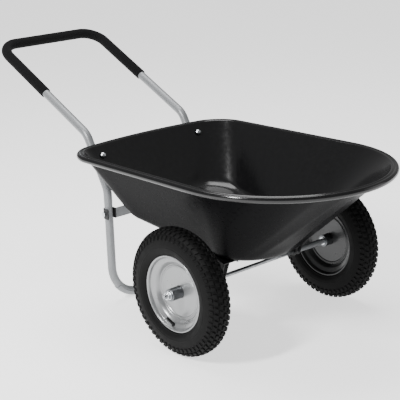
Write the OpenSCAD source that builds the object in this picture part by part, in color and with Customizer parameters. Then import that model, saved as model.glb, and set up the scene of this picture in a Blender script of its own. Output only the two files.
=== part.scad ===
// Two-wheeled garden cart: a moulded tub on a bent-tube frame, two disc wheels
// on one fixed axle, and a push handle with a foam grip. Millimetres, +Z up.
// The tub's nose points along -Y and the handle reaches out along +Y.
// The origin is on the ground, under the middle of the whole cart.

/* [Wheels] */
// Diameter over the tread
wheel_d = 356; // [300:1:420]
// Distance between the two wheels' middle planes
track = 590; // [540:1:680]
// Width of the tyre
tyre_w = 74; // [60:1:90]
// Thickness of the tyre's wall
tyre_wall = 7; // [5:0.5:9]
// Diameter over the rim's lips
rim_d = 213; // [190:1:224]
// Width over the rim's lips
rim_w = 56; // [48:1:60]
// Thickness of the rim's pressed sheet
rim_sheet = 2; // [1.5:0.1:3]
// Length of the hub barrel
hub_len = 64; // [58:1:76]
// Outer diameter of the hub barrel
hub_d = 34; // [30:1:40]

/* [Axle] */
// Diameter of the axle rod
axle_d = 12; // [10:1:16]
// Length of the axle that stands out past each hub
axle_end = 20; // [18:1:26]
// Outer diameter of the spacer sleeves
sleeve_d = 16.5; // [15:0.5:22]
// Distance from the cart's middle to the middle of each axle bracket
bracket_x = 150; // [135:1:156]
// Width of an axle bracket between its outer faces
bracket_w = 20; // [16:1:30]
// How far a bracket's foot plate reaches in from its outer face
bracket_foot_w = 75; // [70:1:84]

/* [Tub] */
// Width over the rolled rim
tub_w = 636; // [600:1:680]
// Width over the rolled rim where the rear corners start
tub_rear_w = 618; // [580:1:640]
// Distance from the axle forward to the tip of the nose
tub_front = 408; // [360:1:450]
// Distance from the axle back to the middle of the rear rim
tub_rear = 500; // [490:1:512]
// Height of the top of the rim above the ground
tub_top = 484; // [450:1:520]
// Depth of the round nose
nose_depth = 328; // [280:1:360]
// Radius of the rim's rear corners
corner_r = 92; // [60:1:110]
// Bow of the rear rim
rear_bow = 32; // [0:1:36]
// Thickness of the tub's wall
tub_wall = 4; // [3:0.5:6]
// Diameter of the rolled rim
bead_d = 14; // [11:0.5:18]
// How far the rim stands out past the wall
lip_w = 20; // [16:1:26]
// Width of the floor at the back
floor_rear_w = 396; // [340:1:430]
// Width of the floor at the front
floor_front_w = 308; // [300:1:340]
// Height of the floor's underside above the axle
floor_rise = 55; // [46:1:70]
// Slope of the floor in degrees, up towards the back
floor_tilt = 11.5; // [6:0.5:14]
// Radius of the bend between floor and wall
floor_r = 28; // [20:1:50]

/* [Handle] */
// Diameter of the frame tube
tube_d = 25; // [22:0.5:28]
// Wall of the frame tube
tube_wall = 1.8; // [1.2:0.1:2.5]
// Distance between the two handle legs
handle_w = 375; // [340:1:400]
// Angle of the handle above the ground
handle_tilt = 26.5; // [15:0.5:35]
// Length of the straight handle from its lower bend to the crossbar
handle_len = 488; // [420:1:560]
// Radius of the handle's corners
handle_r = 62; // [50:1:80]
// Radius of the bends at the tub's back
knee_r = 60; // [45:1:80]
// Lean of the legs behind the tub
knee_tilt = 28.6; // [20:0.2:32]
// Diameter of the foam grip
grip_d = 32; // [30:0.5:38]
// Length of the grip along each leg
grip_leg = 270; // [180:1:320]

/* [Stand] */
// Distance from the axle back to the stand
stand_y = 435; // [420:1:450]
// Radius of the stand's corners
stand_r = 98; // [70:1:120]
// Height of the joint bolts
joint_z = 281; // [260:1:296]
// Height of the cross brace and of the leg clamps
brace_h = 30; // [22:1:34]
// Thickness of the wear shoes under the stand
shoe_t = 1.6; // [1:0.1:3]

/* [Fasteners] */
// Diameter of the bolts
bolt_d = 8; // [6:1:8]
// Height of the rear bolts where they cross the legs' middle lines
rear_bolt_z = 436; // [425:1:455]

/* [Hidden] */

$fn = 96;
fit = 0.05;        // running clearance of the axle in its bearings, on the radius
gap = 0.4;         // clearance between faces of different pieces that turn
seat = 0.02;       // clearance where one fixed piece is put on another
silver = "#c4c6c8";
black = "#26272a";
zinc = "#d3d6d8";

// ---- places ----
wheel_r = wheel_d / 2;
tube_r = tube_d / 2;
grip_r = grip_d / 2;
// knee where the leaning leg meets the handle, and elbow where it meets the upright leg
elbow_y = stand_y;
lean_front = tub_rear - rear_bow * pow(handle_w / tub_rear_w, 2);
knee_z = tub_top + 24;
knee_y = lean_front + tube_r / cos(knee_tilt) + (knee_z - tub_top + bead_d / 2) * tan(knee_tilt) + 1;
elbow_z = knee_z - (knee_y - elbow_y) / tan(knee_tilt);
handle_dy = cos(handle_tilt);
handle_dz = sin(handle_tilt);
bar_y = knee_y + handle_len * handle_dy;
bar_z = knee_z + handle_len * handle_dz;
// the axle's place in the cart's own frame
back_end = bar_y + grip_r;
axle_y = (tub_front - back_end) / 2;
hub_in = track / 2 - hub_len / 2 + 5;
hub_out = hub_in + hub_len;
axle_half = hub_out + axle_end;
stand_z = tube_r + shoe_t;
spigot_len = 55;
spigot_r = tube_r - tube_wall - seat;
stand_top = joint_z + 20;

// ---- vectors ----
function unit(v) = v / norm(v);
function mix(a, b, t) = a + (b - a) * t;

// ---- bent bar: straights and round bends, each drawn from the end of the one before ----
// a straight along +Z, then whatever follows it
module straight(r, len) {
    cylinder(r = r, h = len);
    translate([0, 0, len]) children();
}
// a bend from +Z towards +X, then whatever follows it, with the bender's faint mark at each end
mark_r = 0.06;
mark_len = 2;
module bend_mark(r) { translate([0, 0, -mark_len / 2]) cylinder(r = r + mark_r, h = mark_len); }
module bend(r, rb, turn) {
    bend_mark(r);
    translate([rb, 0, 0]) rotate([90, 0, 180]) rotate_extrude(angle = turn) translate([rb, 0]) circle(r = r);
    translate([rb, 0, 0]) rotate([0, turn, 0]) translate([-rb, 0, 0]) {
        bend_mark(r);
        children();
    }
}

// ---- the tub's outline at one level, anticlockwise from its left side ----
n_nose = 28;
n_side = 6;
n_corner = 8;
n_back = 6;
function outline(w, wr, nose_y, depth, back_y, rc, bow) = concat(
    [for (i = [0 : n_nose]) [w * cos(180 + 180 * i / n_nose), nose_y + depth * sin(180 + 180 * i / n_nose)]],
    [for (i = [1 : n_side]) mix([w, nose_y], [wr, back_y - rc - bow], i / n_side)],
    [for (i = [1 : n_corner]) corner(wr, back_y, rc, bow, 90 * i / n_corner, 1)],
    [for (i = [1 : n_back]) bowed(mix([wr - rc, back_y], [rc - wr, back_y], i / n_back), wr, bow)],
    [for (i = [1 : n_corner]) corner(wr, back_y, rc, bow, 90 - 90 * i / n_corner, -1)],
    [for (i = [1 : n_side - 1]) mix([-wr, back_y - rc - bow], [-w, nose_y], i / n_side)]);
function bowed(p, wr, bow) = [p[0], p[1] - bow * pow(p[0] / wr, 2)];
function corner(wr, back_y, rc, bow, a, s) =
    bowed([s * (wr - rc + rc * cos(a)), back_y - rc + rc * sin(a)], wr, bow);

nose_y = nose_depth - tub_front;
floor_nose_y = 15;
floor_depth = 98;
floor_back = 376;
function rim_line(inset) = outline(tub_w / 2 - inset, tub_rear_w / 2 - inset, nose_y,
    nose_depth - inset, tub_rear - inset, corner_r - inset, rear_bow);
function floor_line(inset) = outline(floor_front_w / 2 - inset, floor_rear_w / 2 - inset, floor_nose_y,
    floor_depth - inset, floor_back - inset, corner_r - inset, 0);
function floor_z(y) = wheel_r + floor_rise + y * tan(floor_tilt);
function on_floor(p, lift) = [p[0], p[1], floor_z(p[1]) + lift];
function at_height(p, z) = [p[0], p[1], z];

// one wall section: floor edge, round bend, then straight up to the lip
bend_steps = 5;
wall_steps = 3;
function wall_rings(inset, lift, top_z, r) =
    let (f = floor_line(inset), a = floor_line(inset + r), t = rim_line(lip_w + inset), n = len(f))
    concat(
        [for (k = [0 : bend_steps]) [for (i = [0 : n - 1])
            let (e = on_floor(f[i], lift), top = at_height(t[i], top_z),
                s = on_floor(a[i], lift), c = e + unit(top - e) * r, q = k / bend_steps)
            mix(mix(s, e, q), mix(e, c, q), q)]],
        [for (k = [1 : wall_steps]) [for (i = [0 : n - 1])
            let (e = on_floor(f[i], lift), top = at_height(t[i], top_z), c = e + unit(top - e) * r)
            mix(c, top, k / wall_steps)]]);
bead_steps = 7;
bead_r = bead_d / 2;
outer_head_z = tub_top - tub_wall - 5;
inner_head_z = tub_top - 4;
function bead_rings() = [for (k = [0 : bead_steps])
    let (a = -90 + 200 * k / bead_steps)
    [for (p = rim_line(bead_r - bead_r * cos(a))) at_height(p, tub_top - bead_r + bead_r * sin(a))]];
function tub_rings() = concat(
    wall_rings(0, 0, outer_head_z, floor_r),
    [[for (p = rim_line(bead_d + 1)) at_height(p, outer_head_z + 1.5)]],
    bead_rings(),
    let (inner = wall_rings(tub_wall, tub_wall, inner_head_z, floor_r - tub_wall), m = len(inner))
    [for (k = [0 : m - 1]) inner[m - 1 - k]]);

// a closed skin over a run of like rings, in triangles, with a fan from its middle over each end
function middle(ring) = [for (axis = [0 : 2]) sum_along(ring, axis) / len(ring)];
function sum_along(ring, axis) = [for (p = ring) 1] * [for (p = ring) p[axis]];
module lofted(rings) {
    n = len(rings[0]);
    last = (len(rings) - 1) * n;
    first_hub = last + n;
    polyhedron(
        points = concat([for (ring = rings) for (p = ring) p], [middle(rings[0]), middle(rings[len(rings) - 1])]),
        faces = concat(
            [for (i = [0 : n - 1]) [first_hub, i, (i + 1) % n]],
            [for (i = [0 : n - 1]) [first_hub + 1, last + (i + 1) % n, last + i]],
            [for (k = [0 : n : last - n]) for (i = [0 : n - 1]) [k + i, k + n + i, k + n + (i + 1) % n]],
            [for (k = [0 : n : last - n]) for (i = [0 : n - 1]) [k + i, k + n + (i + 1) % n, k + (i + 1) % n]]),
        convexity = 8);
}

// ---- places that repeat ----
module both_sides(x) { for (s = [-1, 1]) translate([s * x, 0, 0]) children(); }
module from_axle() { translate([0, axle_y, 0]) children(); }
module across(len, r) { rotate([0, 90, 0]) cylinder(r = r, h = len, center = true); }
rear_bolt_x = handle_w / 2;
leg_y_at_bolt = elbow_y + (rear_bolt_z - elbow_z) * tan(knee_tilt);
// where the rear wall's outer or inner skin stands at a rear bolt
floor_straight = floor_rear_w / 2 - corner_r;
rim_straight = tub_rear_w / 2 - corner_r;
function wall_y(inset, head_z) =
    let (foot_y = floor_back - inset, foot_z = floor_z(foot_y) + inset,
        rise = (rear_bolt_z - foot_z) / (head_z - foot_z),
        head_x = rear_bolt_x * rim_straight / mix(floor_straight, rim_straight, rise),
        head_y = tub_rear - lip_w - inset - rear_bow * pow(head_x / (tub_rear_w / 2 - lip_w - inset), 2))
    mix(foot_y, head_y, rise);
wall_to_leg = (leg_y_at_bolt - wall_y(0, outer_head_z)) * cos(knee_tilt);
inside_to_leg = (leg_y_at_bolt - wall_y(tub_wall, inner_head_z)) * cos(knee_tilt);
// room under a bolt's head and a bush for the wall's slight curve
wall_room = 2.3;
bracket_bolt_dy = 20;
bracket_bolt_x = bracket_x + bracket_w / 2 - bracket_foot_w + 13;
bracket_sheet = 3;
// on the leaning leg's middle line, with +Z square to the leg and pointing back
module at_rear_bolts() {
    for (s = [-1, 1]) translate([s * rear_bolt_x, leg_y_at_bolt, rear_bolt_z])
        rotate([-90 - knee_tilt, 0, 0]) children();
}
// on the floor's underside, with +Z square to the floor
module at_bracket_bolts() {
    for (s = [-1, 1]) for (t = [-1, 1])
        translate([s * bracket_bolt_x, 0, wheel_r + floor_rise]) rotate([floor_tilt, 0, 0])
            translate([0, t * bracket_bolt_dy, 0]) children();
}

// ---- tub ----
module tub() color(black) from_axle() difference() {
    lofted(tub_rings());
    at_rear_bolts() translate([0, 0, -wall_to_leg]) cylinder(d = bolt_d + 0.2, h = 30, center = true);
    at_bracket_bolts() cylinder(d = bolt_d + 0.2, h = 30, center = true);
}

// ---- frame tubes ----
knee_turn = 90 - handle_tilt - knee_tilt;
elbow_cut = knee_r * tan(knee_tilt / 2);
knee_cut = knee_r * tan(knee_turn / 2);
lean_len = norm([knee_y - elbow_y, knee_z - elbow_z]) - elbow_cut - knee_cut;
upright_len = elbow_z - elbow_cut - stand_top;
push_len = handle_len - knee_cut - handle_r;
bar_len = handle_w - 2 * handle_r;
// the whole handle from joint to joint, heading +Z, with +X pointing back and +Y across
module handle_run(r, over) straight(r, upright_len + over) bend(r, knee_r, knee_tilt) straight(r, lean_len)
    bend(r, knee_r, knee_turn) straight(r, push_len) rotate([0, 0, 90]) bend(r, handle_r, 90)
    straight(r, bar_len) bend(r, handle_r, 90) rotate([0, 0, -90]) straight(r, push_len)
    bend(r, knee_r, knee_turn) straight(r, lean_len) bend(r, knee_r, knee_tilt) straight(r, upright_len + over);
// shoulder above the swaged ends
shoulder = 3;
module handle_tube() color(silver) from_axle() difference() {
    translate([-handle_w / 2, stand_y, stand_top]) rotate([0, 0, 90]) mirror([0, 1, 0]) difference() {
        union() {
            handle_run(tube_r, 0);
            for (y = [0, handle_w]) translate([0, y, -spigot_len]) cylinder(r = spigot_r, h = spigot_len + 1);
        }
        translate([0, 0, shoulder]) handle_run(tube_r - tube_wall, -shoulder);
        for (y = [0, handle_w]) translate([0, y, -spigot_len - 1])
            cylinder(r = spigot_r - tube_wall, h = spigot_len + shoulder + 3);
    }
    at_rear_bolts() cylinder(d = bolt_d + 0.2, h = 60, center = true);
    translate([0, stand_y, joint_z]) across(handle_w + 80, bolt_d / 2 + 0.1);
}

// the grip lies in the handle's own plane: +Z up the legs, +X across
module grip_run(r, over) translate([0, 0, -over]) straight(r, grip_leg - handle_r + over) bend(r, handle_r, 90)
    straight(r, bar_len) bend(r, handle_r, 90) straight(r, grip_leg - handle_r + over);
module foam_grip() color(black) from_axle() translate([-handle_w / 2, bar_y, bar_z])
    rotate([handle_tilt - 90, 0, 0]) translate([0, 0, -grip_leg]) difference() {
        grip_run(grip_r, 0);
        grip_run(tube_r + seat, 1);
    }

// +Z down the first leg, +X across
stand_drop = stand_top - 0.5 - stand_z - stand_r;
module stand_run(r, over) translate([0, 0, -over]) straight(r, stand_drop + over) bend(r, stand_r, 90)
    straight(r, handle_w - 2 * stand_r) bend(r, stand_r, 90) straight(r, stand_drop + over);
module stand_tube() color(silver) from_axle() difference() {
    translate([-handle_w / 2, stand_y, stand_top - 0.5]) mirror([0, 0, 1]) difference() {
        stand_run(tube_r, 0);
        stand_run(tube_r - tube_wall, 1);
    }
    translate([0, stand_y, joint_z]) across(handle_w + 80, bolt_d / 2 + 0.1);
}

// lower half of a sleeve round the tube, as a flat profile
module shoe_profile() intersection() {
    difference() {
        circle(r = tube_r + shoe_t);
        circle(r = tube_r + mark_r + seat);
    }
    translate([0, -tube_d]) square([tube_d * 2, tube_d * 2]);
}
shoe_len = 70;
shoe_start = 38;
module stand_shoes() color(silver) from_axle() for (s = [0, 1]) mirror([s, 0, 0])
    translate([stand_r - handle_w / 2, stand_y, stand_z + stand_r]) {
        rotate([90, 0, 0]) rotate([0, 0, 180 + shoe_start]) rotate_extrude(angle = 90 - shoe_start)
            translate([stand_r, 0]) shoe_profile();
        translate([0, 0, -stand_r]) rotate([0, 90, 0]) linear_extrude(shoe_len) shoe_profile();
    }

// ---- joint of handle and stand, with its brace ----
clamp_t = 3;
brace_t = 3;
clamp_out = tube_r + clamp_t;
brace_end = handle_w / 2 - clamp_out - seat;
brace_half = clamp_out - 2;
module at_joints() { for (s = [0, 1]) mirror([s, 0, 0]) translate([handle_w / 2, stand_y, joint_z]) children(); }
module leg_clamps() color(black) from_axle() at_joints() difference() {
    linear_extrude(brace_h, center = true) difference() {
        union() {
            circle(r = clamp_out);
            translate([-clamp_out, -clamp_out]) square([2 * clamp_out, clamp_out]);
        }
        circle(r = tube_r + seat);
        translate([-tube_r - seat, -2 * clamp_out]) square([2 * tube_r + 2 * seat, 2 * clamp_out]);
    }
    across(tube_d * 2, bolt_d / 2 + 0.1);
}
module cross_brace() color(silver) from_axle() translate([0, stand_y, joint_z]) difference() {
    union() {
        translate([0, brace_t / 2 - brace_half, 0]) cube([2 * brace_end - brace_t, brace_t, brace_h], center = true);
        both_sides(brace_end - brace_t / 2) cube([brace_t, 2 * brace_half, brace_h], center = true);
    }
    across(2 * brace_end + 20, bolt_d / 2 + 0.1);
}

// ---- fasteners: a bolt along +Z with its head under z = 0, and a nut standing on z = 0 ----
hex_af = 1.625 * bolt_d;
nut_t = 0.8 * bolt_d;
washer_t = 1.6;
module hexagon(af, h) { cylinder(d = af / cos(30), h = h, $fn = 6); }
module hex_bolt(len) {
    translate([0, 0, -0.65 * bolt_d]) hexagon(hex_af, 0.65 * bolt_d);
    cylinder(d = bolt_d, h = len);
}
module dome_bolt(len) {
    dome_r = bolt_d * 1.15;
    rotate_extrude() intersection() {
        translate([0, dome_r * 0.55]) circle(r = dome_r * 1.141);
        translate([0, -dome_r]) square([dome_r, dome_r]);
    }
    cylinder(d = bolt_d, h = len);
}
module nut_and_washer() difference() {
    union() {
        cylinder(d = bolt_d * 2.1, h = washer_t);
        translate([0, 0, washer_t]) hexagon(hex_af, nut_t);
    }
    translate([0, 0, -1]) cylinder(d = bolt_d + 2 * seat, h = washer_t + nut_t + 2);
}
nut_stack = washer_t + nut_t;
thread_out = 3;
joint_grip = 2 * clamp_out + brace_t + 2 * seat;
module joint_bolts() color(zinc) from_axle() at_joints()
    translate([clamp_out + seat, 0, 0]) rotate([0, -90, 0]) hex_bolt(joint_grip + nut_stack + thread_out);
module joint_nuts() color(zinc) from_axle() at_joints()
    translate([-clamp_out - brace_t - 2 * seat, 0, 0]) rotate([0, -90, 0]) nut_and_washer();

rear_head = -inside_to_leg - wall_room;
rear_nut = tube_r + seat;
module rear_bolts() color(zinc) from_axle() at_rear_bolts()
    translate([0, 0, rear_head]) dome_bolt(rear_nut - rear_head + nut_stack + thread_out);
module rear_nuts() color(zinc) from_axle() at_rear_bolts() translate([0, 0, rear_nut]) nut_and_washer();
// bush between the wall and the leg, hollowed to the leg's round
module rear_spacers() color(black) from_axle() at_rear_bolts() difference() {
    translate([0, 0, wall_room - wall_to_leg]) cylinder(d = bolt_d * 2.5, h = wall_to_leg - 6);
    rotate([90, 0, 0]) cylinder(r = tube_r + seat, h = 60, center = true);
    translate([0, 0, -60]) cylinder(d = bolt_d + 0.2, h = 60);
}

// ---- axle and its brackets ----
axle_r = axle_d / 2;
axle_z = wheel_r;
module at_axle() { from_axle() translate([0, 0, axle_z]) children(); }
module axle_rod() color(zinc) at_axle() rotate([0, 90, 0]) {
    core = 2 * axle_half - 3;
    cylinder(r = axle_r, h = core, center = true);
    for (s = [0, 1]) mirror([0, 0, s]) translate([0, 0, core / 2])
        cylinder(r1 = axle_r, r2 = axle_r - 1.2, h = 1.5);
}
// bracket outline in its own side plane; its top lies along the floor
bracket_len = 62;
bracket_foot = [-floor_rise * sin(floor_tilt), -floor_rise * cos(floor_tilt)];
bracket_boss = axle_r + 6;
module bracket_cheek() rotate([90, 0, 90]) linear_extrude(bracket_sheet, center = true) difference() {
    union() {
        polygon([[-bracket_len / 2, -1], [-bracket_len / 2, -6], [bracket_foot[0] - bracket_boss, bracket_foot[1]],
            [bracket_foot[0] + bracket_boss, bracket_foot[1]], [bracket_len / 2, -6], [bracket_len / 2, -1]]);
        translate(bracket_foot) circle(r = bracket_boss);
    }
    translate(bracket_foot) circle(r = axle_r + seat);
}
module bracket() translate([bracket_x, 0, axle_z + floor_rise]) rotate([floor_tilt, 0, 0]) {
    both_sides(bracket_w / 2 - bracket_sheet / 2) bracket_cheek();
    translate([bracket_w / 2 - bracket_foot_w, -bracket_len / 2, -bracket_sheet - seat])
        cube([bracket_foot_w, bracket_len, bracket_sheet]);
}
module axle_brackets() color(black) from_axle() difference() {
    for (s = [0, 1]) mirror([s, 0, 0]) bracket();
    at_bracket_bolts() cylinder(d = bolt_d + 0.2, h = 30, center = true);
}
bracket_nut = -bracket_sheet - 2 * seat;
module bracket_bolts() color(zinc) from_axle() at_bracket_bolts() mirror([0, 0, 1])
    translate([0, 0, -tub_wall - seat]) dome_bolt(tub_wall - bracket_nut + nut_stack + thread_out);
module bracket_nuts() color(zinc) from_axle() at_bracket_bolts() mirror([0, 0, 1])
    translate([0, 0, -bracket_nut]) nut_and_washer();

axle_washer_t = 2;
module axle_ring(x, len, r) { difference() {
    translate([x + len / 2, 0, 0]) across(len, r);
    translate([x + len / 2, 0, 0]) across(len + 2, axle_r + seat);
} }
module at_ends() { at_axle() for (s = [0, 1]) mirror([s, 0, 0]) children(); }
sleeve_in = bracket_x + bracket_w / 2 + seat;
sleeve_out = hub_in - gap - axle_washer_t - seat;
module axle_sleeves() color(zinc) at_ends() axle_ring(sleeve_in, sleeve_out - sleeve_in, sleeve_d / 2);
module axle_washers() color(zinc) at_ends() {
    axle_ring(hub_in - gap - axle_washer_t, axle_washer_t, axle_d * 0.95);
    axle_ring(hub_out + gap, axle_washer_t, axle_d * 0.95);
}
axle_nut_t = axle_end - gap - axle_washer_t - seat - 5;
module axle_nuts() color(zinc) at_ends() translate([hub_out + gap + axle_washer_t + seat, 0, 0])
    rotate([0, 90, 0]) difference() {
        union() {
            hexagon(1.58 * axle_d, axle_nut_t * 0.72);
            cylinder(d = 1.34 * axle_d, h = axle_nut_t);
        }
        translate([0, 0, -1]) cylinder(r = axle_r + seat, h = axle_nut_t + 2);
    }

// ---- wheels: s is -1 for the right one and 1 for the left; profiles are (radius, outward) ----
bead_seat = rim_d / 2 - 5;
tyre_shoulder = 0.67 * wheel_r;
profile_power = 0.8;
profile_steps = 24;
function signed_pow(v, p) = sign(v) * pow(abs(v), p);
function arch(half_w, top_r, base_r) = [for (i = [0 : profile_steps]) let (a = -90 + 180 * i / profile_steps)
    [base_r + (top_r - base_r) * pow(max(cos(a), 0), profile_power), half_w * signed_pow(sin(a), profile_power)]];
function turned_back(p) = [for (i = [len(p) - 1 : -1 : 0]) p[i]];
module at_wheel(s) { at_axle() mirror([s < 0 ? 1 : 0, 0, 0]) translate([track / 2, 0, 0]) children(); }
module turned(s) { at_wheel(s) rotate([0, 90, 0]) rotate_extrude() children(); }

tyre_bead = rim_w / 2 - rim_sheet - 2;
module tyre(s) color(black) turned(s) polygon(concat(
    arch(tyre_w / 2, wheel_r, tyre_shoulder),
    [[bead_seat + 4, tyre_bead], [bead_seat + seat, tyre_bead - 3], [bead_seat + seat, tyre_bead - 10]],
    turned_back(arch(tyre_w / 2 - tyre_wall, wheel_r - tyre_wall - 5, tyre_shoulder)),
    [[bead_seat + seat, 10 - tyre_bead], [bead_seat + seat, 3 - tyre_bead], [bead_seat + 4, -tyre_bead]]));
tube_gap = 1;
tube_skin = 2;
module inner_tube(s) color(black) turned(s) difference() {
    polygon(arch(tyre_w / 2 - tyre_wall - tube_gap, wheel_r - tyre_wall - 5 - tube_gap, tyre_shoulder + 1));
    polygon(arch(tyre_w / 2 - tyre_wall - tube_gap - tube_skin, wheel_r - tyre_wall - 5 - tube_gap - tube_skin,
        tyre_shoulder + 1 + tube_skin));
}
// one pressed half: disc, dished wall and rolled lip
disc_r = 0.338 * rim_d;
function half_face() = let (lip = rim_d / 2, w = rim_w / 2) [
    [hub_d / 2 + seat, rim_sheet], [disc_r, rim_sheet], [disc_r + 3, rim_sheet + 0.8],
    [disc_r + 20, w * 0.5], [disc_r + 25, w * 0.72], [lip - 7.2, w - 3.6], [lip - 4.6, w - 0.9], [lip - 1.5, w],
    [lip, w - 1]];
function half_back() = let (lip = rim_d / 2, w = rim_w / 2) [
    [lip, w - rim_sheet - 0.6], [lip - 3, w - rim_sheet - 0.4], [bead_seat, w - rim_sheet - 4],
    [bead_seat, w * 0.62], [disc_r + 22.5, w * 0.44], [disc_r + 6, seat], [hub_d / 2 + seat, seat]];
module rim_half(s, outer) turned(s) mirror([0, outer ? 0 : 1]) polygon(concat(half_face(), half_back()));
valve_r = 4;
valve_at = [disc_r + 21.5, rim_w * 0.29];
valve_lean = 42;
valve_turn = 8;
// on the dished wall, with +Z along the valve
module at_valve(s) { at_wheel(s) rotate([valve_turn, 0, 0])
    translate([valve_at[1], 0, -valve_at[0]]) rotate([0, valve_lean, 0]) children(); }
module rim_outer(s) color(silver) difference() {
    rim_half(s, true);
    at_valve(s) cylinder(r = valve_r + 0.1, h = 30, center = true);
}
module rim_inner(s) color("#5c5e60") rim_half(s, false);
bearing_w = 10;
bearing_r = hub_d / 2 - 3;
module hub(s) color(zinc) at_wheel(s) translate([hub_in + hub_len / 2 - track / 2, 0, 0]) difference() {
    across(hub_len, hub_d / 2);
    across(hub_len + 2, bearing_r - 2);
    both_sides(hub_len / 2) across(2 * bearing_w, bearing_r);
}
module bearings(s) color("#8b8e92") at_wheel(s) translate([hub_in + hub_len / 2 - track / 2, 0, 0])
    both_sides((hub_len - bearing_w) / 2) difference() {
        across(bearing_w - 2 * seat, bearing_r - seat);
        across(bearing_w + 2, axle_r + fit);
    }
valve_len = 27;
module valve_stem(s) color(black) at_valve(s) {
    translate([0, 0, -5]) cylinder(r = valve_r, h = valve_len + 5);
    translate([0, 0, 0.4]) cylinder(r1 = valve_r + 2, r2 = valve_r, h = 4);
}
module valve_cap(s) color(black) at_valve(s) translate([0, 0, valve_len + seat]) cylinder(r = valve_r - 0.6, h = 8);

tub();
handle_tube();
foam_grip();
stand_tube();
stand_shoes();
cross_brace();
leg_clamps();
joint_bolts();
joint_nuts();
rear_bolts();
rear_spacers();
rear_nuts();
axle_rod();
axle_brackets();
bracket_bolts();
bracket_nuts();
axle_sleeves();
axle_washers();
axle_nuts();
tyre(-1);  // right_tyre
inner_tube(-1);  // right_inner_tube
rim_outer(-1);  // right_rim_outer
rim_inner(-1);  // right_rim_inner
hub(-1);  // right_hub
bearings(-1);  // right_bearings
valve_stem(-1);  // right_valve_stem
valve_cap(-1);  // right_valve_cap
tyre(1);  // left_tyre
inner_tube(1);  // left_inner_tube
rim_outer(1);  // left_rim_outer
rim_inner(1);  // left_rim_inner
hub(1);  // left_hub
bearings(1);  // left_bearings
valve_stem(1);  // left_valve_stem
valve_cap(1);  // left_valve_cap
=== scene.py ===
"""Looks for a two-wheeled garden cart: moulded tub, bent-tube frame, foam grip and pneumatic wheels.

Each piece is built in metres around the fixed frame, and takes its place from the frame's own boxes.
"""

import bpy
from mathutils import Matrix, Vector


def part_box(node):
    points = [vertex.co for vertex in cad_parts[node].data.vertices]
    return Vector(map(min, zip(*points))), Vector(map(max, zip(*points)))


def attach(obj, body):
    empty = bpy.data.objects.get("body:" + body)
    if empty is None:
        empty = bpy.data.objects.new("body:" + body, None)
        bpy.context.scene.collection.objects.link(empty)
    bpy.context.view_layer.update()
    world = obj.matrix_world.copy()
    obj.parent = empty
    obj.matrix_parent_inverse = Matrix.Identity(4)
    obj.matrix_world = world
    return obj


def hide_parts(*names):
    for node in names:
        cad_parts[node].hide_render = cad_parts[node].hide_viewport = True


bl_info = {
    "name": "Garden cart",
    "version": (1, 0, 0),
    "blender": (4, 5, 0),
    "location": "3D View > Sidebar > Garden cart",
    "description": "Builds the tub, tubes, grip, wheels, fittings and studio of a two-wheeled garden cart",
    "category": "Add Mesh",
}

from math import asin, ceil, cos, pi, radians, sin, sqrt, tan

import bpy
from bpy.props import FloatProperty, FloatVectorProperty, IntProperty, PointerProperty
from mathutils import Matrix, Vector

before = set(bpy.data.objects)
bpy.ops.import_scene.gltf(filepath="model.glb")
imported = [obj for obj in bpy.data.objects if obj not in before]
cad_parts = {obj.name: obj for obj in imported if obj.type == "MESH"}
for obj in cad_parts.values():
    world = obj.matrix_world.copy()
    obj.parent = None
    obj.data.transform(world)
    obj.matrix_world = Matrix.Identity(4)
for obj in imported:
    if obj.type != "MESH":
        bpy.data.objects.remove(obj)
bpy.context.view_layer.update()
MM = 0.001
SIDES = {"right": -1, "left": 1}


# ---- colours and sizes that a user would change ----


def from_hex(code):
    """An sRGB hex colour as linear red, green and blue."""
    parts = [int(code[i : i + 2], 16) / 255 for i in (1, 3, 5)]
    return [p / 12.92 if p <= 0.04045 else ((p + 0.055) / 1.055) ** 2.4 for p in parts]


def length(name, description, default):
    return FloatProperty(
        name=name, description=description, default=default, min=0, unit="LENGTH", precision=4
    )


def colour(name, description, code):
    return FloatVectorProperty(
        name=name, description=description, default=from_hex(code), min=0, max=1, subtype="COLOR"
    )


def angle(name, description, default):
    return FloatProperty(
        name=name, description=description, default=radians(default), subtype="ANGLE"
    )


def power(name, description, default):
    return FloatProperty(name=name, description=description, default=default, unit="POWER")


class TubSettings(bpy.types.PropertyGroup):
    rear_width: length("Rear width", "Width over the rim where the rear corners start", 0.618)
    nose_depth: length("Nose depth", "Depth of the round nose", 0.328)
    corner: length("Corner radius", "Radius of the rim's rear corners", 0.092)
    bow: length("Rear bow", "How far the rear rim bows back in its middle", 0.032)
    wall: length("Wall", "Thickness of the moulded wall", 0.004)
    lip: length("Lip", "How far the rim stands out past the wall", 0.020)
    floor_rear_width: length("Floor, back", "Width of the floor at the back", 0.396)
    floor_front_width: length("Floor, front", "Width of the floor at the front", 0.308)
    floor_nose: length("Floor nose", "From the axle to the start of the floor's round nose", 0.015)
    floor_depth: length("Floor nose depth", "Depth of the floor's round nose", 0.098)
    floor_back: length("Floor back", "From the axle back to the floor's rear edge", 0.376)
    floor_rise: length("Floor rise", "Height of the floor's underside above the axle", 0.055)
    floor_tilt: angle("Floor tilt", "Slope of the floor, up towards the back", 11.5)
    floor_bend: length("Floor bend", "Radius of the bend between floor and wall", 0.028)
    flatness: FloatProperty(
        name="Flatness", description="How flat the nose is between its soft creases",
        default=1.0, min=0, max=1, subtype="FACTOR",
    )
    plastic: colour("Plastic", "Colour of the moulded polypropylene", "#0b0b0c")


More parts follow.
